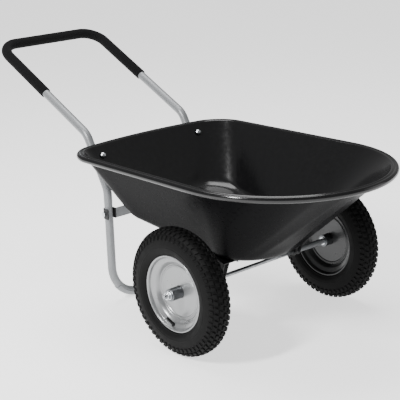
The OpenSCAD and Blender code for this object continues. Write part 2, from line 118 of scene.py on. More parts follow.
class FrameSettings(bpy.types.PropertyGroup):
    tube: length("Tube", "Diameter of the frame tube", 0.025)
    handle_tilt: angle("Handle tilt", "Angle of the handle above the ground", 26.5)
    knee_tilt: angle("Leg lean", "Lean of the legs behind the tub", 28.6)
    knee_rise: length("Knee rise", "Height of the knee above the top of the rim", 0.024)
    knee_bend: length("Knee bend", "Radius of the bends at the tub's back", 0.060)
    handle_bend: length("Handle bend", "Radius of the handle's top corners", 0.062)
    stand_bend: length("Stand bend", "Radius of the stand's corners", 0.098)
    grip_leg: length("Grip leg", "Length of the grip along each leg", 0.270)
    paint: colour("Paint", "Colour of the silver powder coat", "#808284")
    foam: colour("Foam", "Colour of the foam grip", "#101011")


class WheelSettings(bpy.types.PropertyGroup):
    rim: length("Rim", "Diameter over the rim's lips", 0.213)
    rim_width: length("Rim width", "Width over the rim's lips", 0.056)
    sheet: length("Rim sheet", "Thickness of the rim's pressed sheet", 0.002)
    hub: length("Hub", "Diameter of the hub barrel", 0.034)
    tread: length("Tread", "Depth of the tread", 0.0042)
    pitches: IntProperty(
        name="Pitches", description="How often the tread repeats round the tyre", default=58, min=12
    )
    rubber: colour("Rubber", "Colour of the tyres", "#0c0c0c")
    enamel: colour("Enamel", "Colour of the rims", "#8d8e8f")


class StudioSettings(bpy.types.PropertyGroup):
    floor: colour("Floor", "Colour of the studio floor", "#f4f4f4")
    reach: length("Reach", "Half the width of the floor", 25.0)
    key: power("Key light", "Power of the main soft light", 110)
    fill: power("Fill light", "Power of the fill light", 10)
    top: power("Top light", "Power of the overhead light", 90)
    sky: FloatProperty(
        name="Surround", description="Strength of the white surround", default=0.30, min=0
    )
    glow: FloatProperty(
        name="Board glow", description="Light given off by the backlit board", default=1.3, min=0
    )
    lens: FloatProperty(
        name="Lens", description="Focal length on a 36 mm wide sensor, in mm", default=104.97
    )


# ---- small helpers ----


def settings(group):
    """One of the scene's groups of sizes and colours."""
    return getattr(bpy.context.scene, group)


def middle(node):
    """The middle of a frame node's box."""
    low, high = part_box(node)
    return (low + high) / 2


def mix(a, b, t):
    """The number that lies a share t of the way from a to b."""
    return a + (b - a) * t


def new_piece(name, verts, faces, material, body, replaced=(), crease=35):
    """A smooth-shaded mesh that rides on a body; edges sharper than crease degrees stay sharp."""
    mesh = bpy.data.meshes.new(name)
    mesh.from_pydata([tuple(v) for v in verts], [], faces)
    mesh.validate()
    mesh.polygons.foreach_set("use_smooth", [True] * len(mesh.polygons))
    mesh.set_sharp_from_angle(angle=radians(crease))
    mesh.materials.append(material)
    piece = bpy.data.objects.new(name, mesh)
    bpy.context.scene.collection.objects.link(piece)
    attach(piece, body)
    if replaced:
        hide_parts(*replaced)
    return piece


def skinned(rings):
    """Verts and faces of a skin over rings of equal length, with a fan over each end."""
    count = len(rings[0])
    verts = [p for ring in rings for p in ring]
    faces = []
    for k in range(len(rings) - 1):
        a, b = k * count, (k + 1) * count
        for i in range(count):
            j = (i + 1) % count
            faces.append((a + i, a + j, b + j, b + i))
    last = (len(rings) - 1) * count
    for ring, start, flip in ((rings[0], 0, True), (rings[-1], last, False)):
        hub = len(verts)
        verts.append(sum(ring, Vector()) / count)
        for i in range(count):
            j = (i + 1) % count
            faces.append((hub, start + j, start + i) if flip else (hub, start + i, start + j))
    return verts, faces


def revolved(profile, centre, side, steps):
    """Verts and faces of a closed (radius, outward) profile turned about the X axis through centre."""
    verts, faces = [], []
    count = len(profile)
    for k in range(steps):
        turn = 2 * pi * k / steps
        for radius, outward in profile:
            verts.append(centre + Vector((side * outward, radius * cos(turn), radius * sin(turn))))
    for k in range(steps):
        a, b = k * count, (k + 1) % steps * count
        for i in range(count):
            j = (i + 1) % count
            ring = (a + i, a + j, b + j, b + i)
            faces.append(ring if side > 0 else ring[::-1])
    return verts, faces


def softened(profile, passes, keep):
    """A closed profile with its corners cut, which rounds the bends of pressed sheet."""
    for _ in range(passes):
        cut = []
        for a, b in zip(profile, profile[1:] + profile[:1]):
            a, b = Vector(a), Vector(b)
            cut += [a.lerp(b, keep), a.lerp(b, 1 - keep)]
        profile = cut
    return profile


def rounded_path(corners, radii, step):
    """Points along a bent tube's middle line: straights, and a round bend at each inner corner."""
    points = [corners[0]]
    for before, here, after, radius in zip(corners, corners[1:], corners[2:], radii):
        back, on = (before - here).normalized(), (after - here).normalized()
        half = back.angle(on) / 2
        start = here + back * radius / tan(half)
        end = here + on * radius / tan(half)
        hub = here + (back + on).normalized() * radius / sin(half)
        turn = pi - 2 * half
        steps = max(6, ceil(turn * radius / step))
        axis = (start - hub).cross(end - hub).normalized()
        spoke = start - hub
        points += [hub + Matrix.Rotation(turn * i / steps, 3, axis) @ spoke for i in range(steps + 1)]
    return points + [corners[-1]]


def refined(points, step):
    """The same line with a point at least every step."""
    made = [points[0]]
    for a, b in zip(points, points[1:]):
        parts = max(1, ceil((b - a).length / step))
        made += [a.lerp(b, i / parts) for i in range(1, parts + 1)]
    return made


def tube_rings(path, radius_at, sides):
    """Rings of a round tube; radius_at gives the radius from a distance, a turn and the whole length."""
    lengths = [0.0]
    for a, b in zip(path, path[1:]):
        lengths.append(lengths[-1] + (b - a).length)
    rings, across = [], None
    for i, point in enumerate(path):
        ahead = path[min(i + 1, len(path) - 1)] - path[max(i - 1, 0)]
        along = ahead.normalized()
        if across is None:
            across = along.orthogonal().normalized()
        across = (across - along * across.dot(along)).normalized()
        other = along.cross(across)
        ring = []
        for k in range(sides):
            turn = 2 * pi * k / sides
            radius = radius_at(lengths[i], turn, lengths[-1])
            ring.append(point + (across * cos(turn) + other * sin(turn)) * radius)
        rings.append(ring)
    return rings


# ---- materials ----


def add_node(tree, kind, inputs=None, **values):
    """Adds a node, sets its values, and fills its inputs with numbers, colours or links."""
    node = tree.nodes.new(kind)
    for name, value in values.items():
        setattr(node, name, value)
    for name, value in (inputs or {}).items():
        if isinstance(value, bpy.types.NodeSocket):
            tree.links.new(value, node.inputs[name])
        else:
            node.inputs[name].default_value = value
    return node


def start_material(name):
    """An empty material's node tree, with the object's own coordinates in metres."""
    made = bpy.data.materials.new(name)
    made.use_nodes = True
    made.node_tree.nodes.clear()
    place = add_node(made.node_tree, "ShaderNodeTexCoord").outputs["Object"]
    return made, made.node_tree, place


def finish_material(made, tree, look):
    """Ends the tree in one shader with this look."""
    shader = add_node(tree, "ShaderNodeBsdfPrincipled", look)
    add_node(tree, "ShaderNodeOutputMaterial", {"Surface": shader.outputs["BSDF"]})
    return made


def speckle(tree, place, size_mm, detail=3.0, rough=0.55):
    """Noise whose features are about size_mm across."""
    return add_node(
        tree, "ShaderNodeTexNoise",
        {"Vector": place, "Scale": 1000.0 / size_mm, "Detail": detail, "Roughness": rough},
    ).outputs["Fac"]


def spread(tree, value, low, high, start=0.3, end=0.7):
    """Maps noise, which mostly lies between start and end, onto low to high."""
    return add_node(
        tree, "ShaderNodeMapRange",
        {"Value": value, "From Min": start, "From Max": end, "To Min": low, "To Max": high},
    ).outputs["Result"]


def shaded(tree, amount, dark, light):
    """A colour between dark and light by amount."""
    return add_node(
        tree, "ShaderNodeMix",
        {"Factor": amount, 6: (*dark, 1), 7: (*light, 1)}, data_type="RGBA",
    ).outputs[2]


def tinted(base, factor):
    """A colour made lighter or darker by a factor."""
    return [min(1.0, part * factor) for part in base]


def raised(tree, height, depth_mm, strength=1.0, below=None):
    """Bump of a real depth in mm."""
    inputs = {"Height": height, "Distance": depth_mm * MM, "Strength": strength}
    if below is not None:
        inputs["Normal"] = below
    return add_node(tree, "ShaderNodeBump", inputs).outputs["Normal"]


def moulded_polypropylene(name, gloss, dull):
    # Injection-moulded black polypropylene with slow waves and a faint pebble. The mould's core is
    # polished, so the inside and the rim are glossy; its cavity is grained, so the outside is matt.
    made, tree, place = start_material(name)
    base = settings("cart_tub").plastic
    waves = speckle(tree, place, 90.0, 2.0)
    pebble = speckle(tree, place, 3.0, 2.0)
    marks = speckle(tree, place, 14.0, 6.0, 0.7)
    skin = raised(tree, waves, 1.2, 0.25)
    skin = raised(tree, pebble, 0.03, 0.2, skin)
    return finish_material(made, tree, {
        "Base Color": shaded(tree, spread(tree, marks, 0, 1), tinted(base, 0.85), tinted(base, 1.2)),
        "Roughness": spread(tree, marks, dull, dull + 0.08),
        "IOR": 1.49,
        "Specular IOR Level": gloss,
        "Normal": skin,
    })


def silver_powder_coat():
    # Silver powder coat baked on steel tube: a light grey film with metal flake and orange peel.
    made, tree, place = start_material("silver_powder_coat")
    base = settings("cart_frame").paint
    flake = add_node(tree, "ShaderNodeTexVoronoi", {"Vector": place, "Scale": 1000.0 / 0.9})
    peel = speckle(tree, place, 2.2, 2.0)
    cloud = speckle(tree, place, 40.0, 3.0)
    glint = spread(tree, flake.outputs["Color"], 0, 1, 0.1, 0.9)
    return finish_material(made, tree, {
        "Base Color": shaded(tree, glint, tinted(base, 0.9), tinted(base, 1.12)),
        "Metallic": 0.35,
        "Roughness": spread(tree, cloud, 0.36, 0.46),
        "Normal": raised(tree, peel, 0.05, 0.6),
    })


def closed_cell_foam():
    # Extruded closed-cell foam sleeve: almost no gloss, fine open pores at the cut skin.
    made, tree, place = start_material("closed_cell_foam")
    base = settings("cart_frame").foam
    pores = add_node(
        tree, "ShaderNodeTexVoronoi", {"Vector": place, "Scale": 1000.0 / 1.6}
    ).outputs["Distance"]
    lumps = speckle(tree, place, 9.0, 3.0)
    skin = raised(tree, lumps, 0.5, 0.35)
    skin = raised(tree, pores, 0.5, 0.8, skin)
    hollow = spread(tree, pores, 0, 1, 0.1, 0.6)
    return finish_material(made, tree, {
        "Base Color": shaded(tree, hollow, tinted(base, 1.5), tinted(base, 0.7)),
        "Roughness": 0.88,
        "IOR": 1.45,
        "Specular IOR Level": 0.08,
        "Sheen Weight": 0.02,
        "Sheen Roughness": 0.6,
        "Normal": skin,
    })


def vulcanised_rubber():
    # Carbon-black tyre rubber straight from the mould: dull, with a faint bloom in the hollows.
    made, tree, place = start_material("vulcanised_rubber")
    base = settings("cart_wheels").rubber
    bloom = speckle(tree, place, 25.0, 5.0, 0.65)
    grain = speckle(tree, place, 1.2, 2.0)
    return finish_material(made, tree, {
        "Base Color": shaded(tree, spread(tree, bloom, 0, 1), tinted(base, 0.8), tinted(base, 1.5)),
        "Roughness": spread(tree, bloom, 0.52, 0.70),
        "IOR": 1.52,
        "Specular IOR Level": 0.09,
        "Normal": raised(tree, grain, 0.12, 0.5),
    })


def butyl_rubber():
    # Smooth butyl rubber of the valve and the inner tube.
    made, tree, place = start_material("butyl_rubber")
    dust = speckle(tree, place, 6.0, 3.0)
    return finish_material(made, tree, {
        "Base Color": shaded(tree, spread(tree, dust, 0, 1), from_hex("#0c0c0c"), from_hex("#141414")),
        "Roughness": 0.5,
        "Specular IOR Level": 0.25,
        "Normal": raised(tree, dust, 0.05, 0.4),
    })


def rim_enamel(name, strength):
    # Stoved grey enamel on pressed steel: glossier than powder coat, with light orange peel. The halves
    # that face the cart use a copy darkened by strength: painted shade for the shadow under the tub.
    made, tree, place = start_material(name)
    base = tinted(settings("cart_wheels").enamel, strength)
    peel = speckle(tree, place, 4.0, 2.0)
    cloud = speckle(tree, place, 30.0, 4.0)
    return finish_material(made, tree, {
        "Base Color": shaded(tree, spread(tree, cloud, 0, 1), tinted(base, 0.94), tinted(base, 1.03)),
        "Metallic": 0.6,
        "Roughness": spread(tree, cloud, 0.26, 0.36),
        "Coat Weight": 0.3,
        "Coat Roughness": 0.15,
        "Normal": raised(tree, peel, 0.06, 0.5),
    })


def zinc_plate():
    # Bright zinc on bolts, nuts and washers: clear metal with a slightly cloudy passivation.
    made, tree, place = start_material("zinc_plate")
    cloud = speckle(tree, place, 3.5, 4.0)
    return finish_material(made, tree, {
        "Base Color": shaded(tree, spread(tree, cloud, 0, 1), from_hex("#b9bdc2"), from_hex("#dfe1e2")),
        "Metallic": 1.0,
        "Roughness": spread(tree, cloud, 0.18, 0.28),
        "Normal": raised(tree, cloud, 0.01, 0.2),
    })


def drawn_steel():
    # Drawn steel rod: fine die lines run along it, and a film of oil darkens it.
    made, tree, place = start_material("drawn_steel")
    along = add_node(
        tree, "ShaderNodeMapping", {"Vector": place, "Scale": (0.02, 1, 1)}
    ).outputs["Vector"]
    lines = speckle(tree, along, 0.8, 3.0)
    film = speckle(tree, place, 22.0, 3.0)
    return finish_material(made, tree, {
        "Base Color": shaded(tree, spread(tree, film, 0, 1), from_hex("#77797c"), from_hex("#a4a6a8")),
        "Metallic": 1.0,
        "Roughness": spread(tree, lines, 0.25, 0.42),
        "Normal": raised(tree, lines, 0.04, 0.5),
    })


def ground_steel():
    # Turned and oiled steel of the hub barrels and the bearing rings: darker than the zinc beside it.
    made, tree, place = start_material("ground_steel")
    lines = speckle(tree, place, 1.5, 3.0)
    return finish_material(made, tree, {
        "Base Color": shaded(tree, spread(tree, lines, 0, 1), from_hex("#5e6062"), from_hex("#77797b")),
        "Metallic": 1.0,
        "Roughness": 0.3,
        "Normal": raised(tree, lines, 0.03, 0.4),
    })


def black_powder_coat():
    # Black powder coat on pressed brackets: semi-gloss with orange peel.
    made, tree, place = start_material("black_powder_coat")
    peel = speckle(tree, place, 1.8, 2.0)
    cloud = speckle(tree, place, 18.0, 3.0)
    return finish_material(made, tree, {
        "Base Color": shaded(tree, spread(tree, cloud, 0, 1), from_hex("#0f0f10"), from_hex("#171718")),
        "Specular IOR Level": 0.3,
        "Roughness": spread(tree, cloud, 0.38, 0.5),
        "Normal": raised(tree, peel, 0.05, 0.6),
    })


def moulded_nylon():
    # Black injection-moulded nylon of the bushes and valve caps: matt and finely grained.
    made, tree, place = start_material("moulded_nylon")
    grain = speckle(tree, place, 0.9, 2.0)
    return finish_material(made, tree, {
        "Base Color": shaded(tree, grain, from_hex("#0d0d0d"), from_hex("#151515")),
        "Specular IOR Level": 0.2,
        "Roughness": 0.55,
        "Normal": raised(tree, grain, 0.05, 0.5),
    })


def studio_floor():
    # Matt white studio board, lit from behind like a light table.
    made, tree, place = start_material("studio_board")
    tooth = speckle(tree, place, 5.0, 2.0)
    base = settings("cart_studio").floor
    return finish_material(made, tree, {
        "Base Color": shaded(tree, tooth, tinted(base, 0.99), tinted(base, 1.0)),
        "Roughness": 0.8,
        "Specular IOR Level": 0.2,
        "Emission Color": (1, 1, 1, 1),
        "Emission Strength": settings("cart_studio").glow,
    })


# ---- tub ----

# Points along the outline's nose, each side, each rear corner and the back.
NOSE_STEPS = 132
SIDE_STEPS = 14
CORNER_STEPS = 14
BACK_STEPS = 18
# Rings round the bend between floor and wall, up the wall, and round the rim's bead.
BEND_STEPS = 8
WALL_STEPS = 18
BEAD_STEPS = 14
# Distances of the nose's creases from its middle; the inner pair closes in towards the rim.
HAUNCH_CREASE = 0.129
INNER_CREASE_LOW = 0.095
INNER_CREASE_HIGH = 0.040
# The rim from outside to inside, as distances in from its edge and down from its top.
BEAD = 0.007
BEAD_STRETCH = 0.0012
UNDER_RIM = ((0.0145, 0.0088), (0.0115, 0.0120))
OVER_RIM = ((0.0118, 0.0031), (0.0135, 0.0034), (0.0155, 0.0018),
            (0.0180, 0.0008), (0.0205, 0.0016), (0.0225, 0.0034))


class TubShape:
    """The tub's outlines and wall, from the frame's box and the tub's sizes."""

    def __init__(self, sizes):
        self.sizes = sizes
        low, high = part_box("tub")
        self.axle = middle("axle_rod")
        self.top = high.z
        self.half = high.x
        self.nose = low.y + sizes.nose_depth - self.axle.y
        self.back = high.y - self.axle.y

    def outline(self, half, rear_half, nose, depth, back, corner, bow):
        """One closed line seen from above, from the left side round the nose to the back."""

        def bowed(x, y):
            return x, y - bow * (x / rear_half) ** 2

        side_end = back - corner - bow
        points = []
        for i in range(NOSE_STEPS + 1):
            turn = pi + pi * i / NOSE_STEPS
            points.append((half * cos(turn), nose + depth * sin(turn)))
        for i in range(1, SIDE_STEPS + 1):
            t = i / SIDE_STEPS
            points.append((mix(half, rear_half, t), mix(nose, side_end, t)))
        for i in range(1, CORNER_STEPS + 1):
            turn = pi / 2 * i / CORNER_STEPS
            out, up = corner * cos(turn), corner * sin(turn)
            points.append(bowed(rear_half - corner + out, back - corner + up))
        for i in range(1, BACK_STEPS + 1):
            points.append(bowed(mix(rear_half - corner, corner - rear_half, i / BACK_STEPS), back))
        for i in range(1, CORNER_STEPS + 1):
            turn = pi / 2 * (1 - i / CORNER_STEPS)
            out, up = corner * cos(turn), corner * sin(turn)
            points.append(bowed(corner - rear_half - out, back - corner + up))
        for i in range(1, SIDE_STEPS):
            t = i / SIDE_STEPS
            points.append((mix(-rear_half, -half, t), mix(side_end, nose, t)))
        return points

    def rim(self, inset):
        """The rim's outline, drawn in by an inset."""
        s = self.sizes
        return self.outline(self.half - inset, s.rear_width / 2 - inset, self.nose, s.nose_depth - inset,
                            self.back - inset, s.corner - inset, s.bow)

    def floor(self, inset):
        """The floor's outline, drawn in by an inset."""
        s = self.sizes
        front, rear = s.floor_front_width / 2, s.floor_rear_width / 2
        return self.outline(front - inset, rear - inset, s.floor_nose, s.floor_depth - inset,
                            s.floor_back - inset, s.corner - inset, 0)

    def on_floor(self, point, lift):
        """A point of an outline on the sloping floor, lifted off its underside."""
        x, y = point
        slope = y * tan(self.sizes.floor_tilt)
        return Vector((x, y, self.axle.z + self.sizes.floor_rise + slope + lift))

    def at_height(self, point, z):
        """A point of an outline at a height."""
        return Vector((point[0], point[1], z))

    def rim_ring(self, inset, drop):
        """The rim's outline as a ring below the top of the rim."""
        return [self.at_height(p, self.top - drop) for p in self.rim(inset)]

    def wall_rings(self, inset, lift, top, bend):
        """Rings from the floor's flat, round its bend and up the wall to the lip."""
        flat = [self.on_floor(p, lift) for p in self.floor(inset + bend)]
        edge = [self.on_floor(p, lift) for p in self.floor(inset)]
        head = [self.at_height(p, top) for p in self.rim(self.sizes.lip + inset)]
        hub = sum(flat, Vector()) / len(flat)
        foot = [e + (h - e).normalized() * bend for e, h in zip(edge, head)]
        rings = [[hub.lerp(p, share) for p in flat] for share in (0.25, 0.5, 0.7, 0.85, 0.94)]
        for k in range(BEND_STEPS + 1):
            q = k / BEND_STEPS
            rings.append([s.lerp(e, q).lerp(e.lerp(f, q), q) for s, e, f in zip(flat, edge, foot)])
        for k in range(1, WALL_STEPS + 1):
            rise = k / WALL_STEPS
            rings.append(self.creased([f.lerp(h, rise) for f, h in zip(foot, head)], rise))
        return rings

    def creased(self, ring, rise):
        """Flattens the nose between soft creases: one down the middle and two each side of it."""
        nose = ring[: NOSE_STEPS + 1]
        half = nose[-1].x
        depth = nose[0].y - min(p.y for p in nose)
        inner = mix(INNER_CREASE_LOW, INNER_CREASE_HIGH, rise)
        lines = [-HAUNCH_CREASE, -inner, 0.0, inner, HAUNCH_CREASE]
        fade = min(1.0, rise / 0.15) * min(1.0, (1 - rise) / 0.12)

        def curve(x):
            return nose[0].y - depth * sqrt(max(0.0, 1 - (x / half) ** 2))

        made = []
        for p in nose:
            y = p.y
            for a, b in zip(lines, lines[1:]):
                if a <= p.x <= b:
                    chord = mix(curve(a), curve(b), (p.x - a) / (b - a))
                    y = mix(p.y, chord, self.sizes.flatness * fade)
            made.append(Vector((p.x, y, p.z)))
        return made + ring[NOSE_STEPS + 1 :]

    def rings(self):
        """The skin from the outside, round the rim, to the inside; and how many rings are outside."""
        s = self.sizes
        outer = self.wall_rings(0, 0, self.top - 0.009, s.floor_bend)
        inner = self.wall_rings(s.wall, s.wall, self.top - 0.006, s.floor_bend - s.wall)
        under = [(s.lip - 0.002, 0.0078), *UNDER_RIM]
        bead = []
        for k in range(BEAD_STEPS + 1):
            turn = radians(mix(-100, 112, k / BEAD_STEPS))
            bead.append((BEAD - BEAD * cos(turn), 0.0090 - (BEAD + BEAD_STRETCH) * sin(turn)))
        roll = [self.rim_ring(inset, drop) for inset, drop in (*under, *bead, *OVER_RIM)]
        rings = outer + roll + inner[::-1]
        shift = Vector((0, self.axle.y, 0))
        grained_bead = 2
        return [[p + shift for p in ring] for ring in rings], len(outer) + len(under) + grained_bead


class CART_OT_tub(bpy.types.Operator):
    """Builds the moulded tub with its rolled rim"""

    bl_idname = "cart.tub"
    bl_label = "Tub"

    def execute(self, context):
        rings, outer_count = TubShape(context.scene.cart_tub).rings()
        verts, faces = skinned(rings)
        polished = moulded_polypropylene("polypropylene_polished", 0.5, 0.14)
        tub = new_piece("tub_moulding", verts, faces, polished, "cart", ["tub"], 60)
        tub.data.materials.append(moulded_polypropylene("polypropylene_grained", 0.015, 0.25))
        grained = outer_count * len(rings[0])
        for face in tub.data.polygons:
            if face.vertices[0] < grained:
                face.material_index = 1
        return {"FINISHED"}


# ---- frame tubes and grip ----

TUBE_SIDES = 48
FOAM_WAVE = 0.00012  # how far the foam's surface wavers


def handle_corners(sizes):
    """Corners of the handle's middle line on the left side, from the joint up to the crossbar."""
    low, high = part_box("handle_tube")
    half = high.x - sizes.tube / 2
    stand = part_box("stand_tube")
    leg_y = (stand[0].y + stand[1].y) / 2
    bar = Vector((0, high.y - sizes.tube / 2, high.z - sizes.tube / 2))
    knee_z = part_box("tub")[1].z + sizes.knee_rise
    knee_y = bar.y - (bar.z - knee_z) / tan(sizes.handle_tilt)
    elbow_z = knee_z - (knee_y - leg_y) / tan(sizes.knee_tilt)
    joint_z = stand[1].z + 0.5 * MM
    return [Vector((half, leg_y, joint_z)), Vector((half, leg_y, elbow_z)),
            Vector((half, knee_y, knee_z)), Vector((half, bar.y, bar.z))]


def mirrored(points):
    """The same points on the cart's other side."""
    return [Vector((-p.x, p.y, p.z)) for p in points]


def plain_radius(radius, edge=0.0006):
    """A constant radius, eased in at both ends by a small edge."""

    def radius_at(distance, turn, whole):
        near = min(distance, whole - distance)
        return radius - max(0.0, edge - near)

    return radius_at


class CART_OT_frame_tubes(bpy.types.Operator):
    """Builds the bent handle tube and the stand tube"""

    bl_idname = "cart.frame_tubes"
    bl_label = "Frame tubes"

    def execute(self, context):
        sizes = context.scene.cart_frame
        paint = silver_powder_coat()
        left = handle_corners(sizes)
        knees, tops = [sizes.knee_bend] * 2, [sizes.handle_bend] * 2
        bends = knees + tops + knees
        path = refined(rounded_path(left + mirrored(left)[::-1], bends, 0.004), 0.03)
        verts, faces = skinned(tube_rings(path, plain_radius(sizes.tube / 2), TUBE_SIDES))
        new_piece("handle_tube_bent", verts, faces, paint, "cart", ["handle_tube"])

        low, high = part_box("stand_tube")
        half, leg_y, foot = high.x - sizes.tube / 2, (low.y + high.y) / 2, low.z + sizes.tube / 2
        corners = [Vector((half, leg_y, high.z)), Vector((half, leg_y, foot))]
        path = rounded_path(corners + mirrored(corners)[::-1], [sizes.stand_bend] * 2, 0.004)
        path = refined(path, 0.03)
        verts, faces = skinned(tube_rings(path, plain_radius(sizes.tube / 2), TUBE_SIDES))
        new_piece("stand_tube_bent", verts, faces, paint, "cart", ["stand_tube"])
        return {"FINISHED"}


class CART_OT_grip(bpy.types.Operator):
    """Builds the foam sleeve over the crossbar and the tops of the legs"""

    bl_idname = "cart.grip"
    bl_label = "Foam grip"

    def execute(self, context):
        sizes = context.scene.cart_frame
        low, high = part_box("foam_grip")
        radius = (high.x - low.x - (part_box("handle_tube")[1].x * 2 - sizes.tube)) / 2
        top = handle_corners(sizes)[-1]
        down = Vector((0, -cos(sizes.handle_tilt), -sin(sizes.handle_tilt)))
        corners = [top + down * sizes.grip_leg, top]
        path = rounded_path(corners + mirrored(corners)[::-1], [sizes.handle_bend] * 2, 0.004)
        ends = [0.0, 0.0003, 0.0008, 0.0016, 0.0028]
        round_end = ends[-1]
        step = (path[1] - path[0]).normalized()
        path = [path[0] + step * e for e in ends] + refined(path[1:-1], 0.006)
        path += [mirrored([p])[0] for p in path[: len(ends)][::-1]]

        def foam_radius(distance, turn, whole):
            near = min(distance, whole - distance, round_end)
            edge = round_end - sqrt(max(0.0, round_end**2 - (round_end - near) ** 2))
            slack = FOAM_WAVE * (1 + sin(distance * 190 + 2 * sin(turn)) * sin(3 * turn + distance * 40))
            return radius - edge - slack

        verts, faces = skinned(tube_rings(path, foam_radius, TUBE_SIDES))
        foam = closed_cell_foam()
        grip = new_piece("grip_foam_sleeve", verts, faces, foam, "cart", ["foam_grip"])
        return {"FINISHED"}


# ---- wheels ----

ARCH_POWER = 0.8  # below 1 squares the tyre's arch
SHOULDER = 0.67  # where the tyre is widest, as a share of its radius
RING_ROOM = 0.0022  # kept free at each side for the rings moulded on the sidewall
BLOCK_ROOT = -0.0008  # how far a tread block's foot sinks into the carcass


class TyreShape:
    """The tyre's cross-section, as an arch over the widest point and a side down to the bead."""

    def __init__(self, node, sizes):
        low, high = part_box(node)
        self.centre = (low + high) / 2
        self.crown = (high.z - low.z) / 2
        self.half = (high.x - low.x) / 2
        self.base = self.crown * SHOULDER
        self.sizes = sizes

    def arch(self, lean, lift):
        """(radius, outward) at a lean in radians from the crown, lifted off the carcass."""

        def at(a):
            crown, half = self.crown - self.sizes.tread, self.half - RING_ROOM
            side = 1 if a >= 0 else -1
            radius = self.base + (crown - self.base) * max(cos(a), 0) ** ARCH_POWER
            return Vector((radius, side * half * abs(sin(a)) ** ARCH_POWER))

        here, along = at(lean), at(lean + 0.01) - at(lean - 0.01)
        return here + Vector((along.y, -along.x)).normalized() * lift

    def lean_at(self, outward):
        """The lean whose outward place is the one given."""
        share = min(0.999, abs(outward) / (self.half - RING_ROOM))
        return (1 if outward >= 0 else -1) * asin(share ** (1 / ARCH_POWER))

    def carcass(self):
        """The closed cross-section: crown, sidewall with its fine rings, bead and bead seat."""
        top = [self.arch(radians(a), 0) for a in range(0, 76, 3)]
        half, base = self.half - RING_ROOM, self.base
        seat = self.sizes.rim / 2 - 0.0045
        side, side_steps = [], 24
        for k in range(side_steps + 1):
            t = k / side_steps
            radius = mix(base + 0.014, seat + 0.001, t)
            outward = half - 0.0095 * max(0.0, t - 0.30) ** 1.7 * 2.0
            ridge = 0.0007 * (abs(t - 0.18) < 0.03) + 0.0009 * (abs(t - 0.78) < 0.03)
            side.append(Vector((radius, outward + ridge)))
        right = [p for p in top if p.x > base + 0.018] + side + [Vector((seat, 0.018))]
        left = [Vector((p.x, -p.y)) for p in right[::-1]]
        return right + left[:-1]

    def point(self, lean, turn, lift):
        """A place on the tyre, by its lean from the crown and its turn round the axle."""
        radius, outward = self.arch(lean, lift)
        return self.centre + Vector((outward, radius * cos(turn), radius * sin(turn)))

    def block(self, inner, outer, turn, width, skew, depth, verts, faces):
        """One tread block between two outward places, with drawn sides and broken edges."""
        lean_in, lean_out = self.lean_at(inner), self.lean_at(outer)
        draft, edge = 0.0011, 0.0009
        span = abs(lean_out - lean_in) * (self.crown - self.base)
        foot, head = draft / span, (draft + edge) / span
        across = [0, foot, head, 0.5, 1 - head, 1 - foot, 1]
        foot, head = draft / width, (draft + edge) / width
        around = [0, foot, head, 1 - head, 1 - foot, 1]
        start = len(verts)
        for i, u in enumerate(across):
            for j, v in enumerate(around):
                ring = min(i, len(across) - 1 - i, j, len(around) - 1 - j)
                lift = (BLOCK_ROOT, depth - edge * 0.8, depth)[min(ring, 2)]
                lean = mix(lean_in, lean_out, u)
                place = turn + ((v - 0.5) * width + skew * (u - 0.5)) / self.crown
                verts.append(self.point(lean, place, lift))
        rows, count = len(across), len(around)
        flip = lean_out < lean_in
        for i in range(rows - 1):
            for j in range(count - 1):
                a = start + i * count + j
                ring = (a, a + 1, a + count + 1, a + count)
                faces.append(ring if flip else ring[::-1])
        rim = [start + j for j in range(count)]
        rim += [start + i * count + count - 1 for i in range(1, rows)]
        rim += [start + (rows - 1) * count + j for j in range(count - 2, -1, -1)]
        rim += [start + i * count for i in range(rows - 2, 0, -1)]
        faces.append(rim[::-1] if flip else rim)

    def tread(self):
        """All the blocks: a centre rib, two rows each side of it, and bars down each shoulder."""
        verts, faces = [], []
        count, pitch = self.sizes.pitches, 2 * pi * self.crown / self.sizes.pitches
        deep = self.sizes.tread
        for k in range(count):
            turn, late = 2 * pi * k / count, 2 * pi * (k + 0.5) / count
            self.block(-0.0050, 0.0050, turn, pitch * 0.66, 0.003, deep, verts, faces)
            for s in (-1, 1):
                self.block(s * 0.0072, s * 0.0158, late, pitch * 0.68, 0.004 * s, deep, verts, faces)
                self.block(s * 0.0180, s * 0.0252, turn, pitch * 0.70, 0.004 * s, deep * 0.95, verts, faces)
                self.block(s * 0.0268, s * 0.0318, late, pitch * 0.60, 0.002 * s, deep * 0.7, verts, faces)
        return verts, faces


class CART_OT_tyres(bpy.types.Operator):
    """Builds both tyres with their tread blocks"""

    bl_idname = "cart.tyres"
    bl_label = "Tyres"

    def execute(self, context):
        rubber = vulcanised_rubber()
        for side in SIDES:
            node, body = f"{side}_tyre", f"{side}_wheel"
            shape = TyreShape(node, context.scene.cart_wheels)
            verts, faces = revolved(shape.carcass(), shape.centre, 1, 180)
            new_piece(f"{node}_carcass", verts, faces, rubber, body, [node])
            verts, faces = shape.tread()
            new_piece(f"{node}_tread", verts, faces, rubber, body)
        return {"FINISHED"}


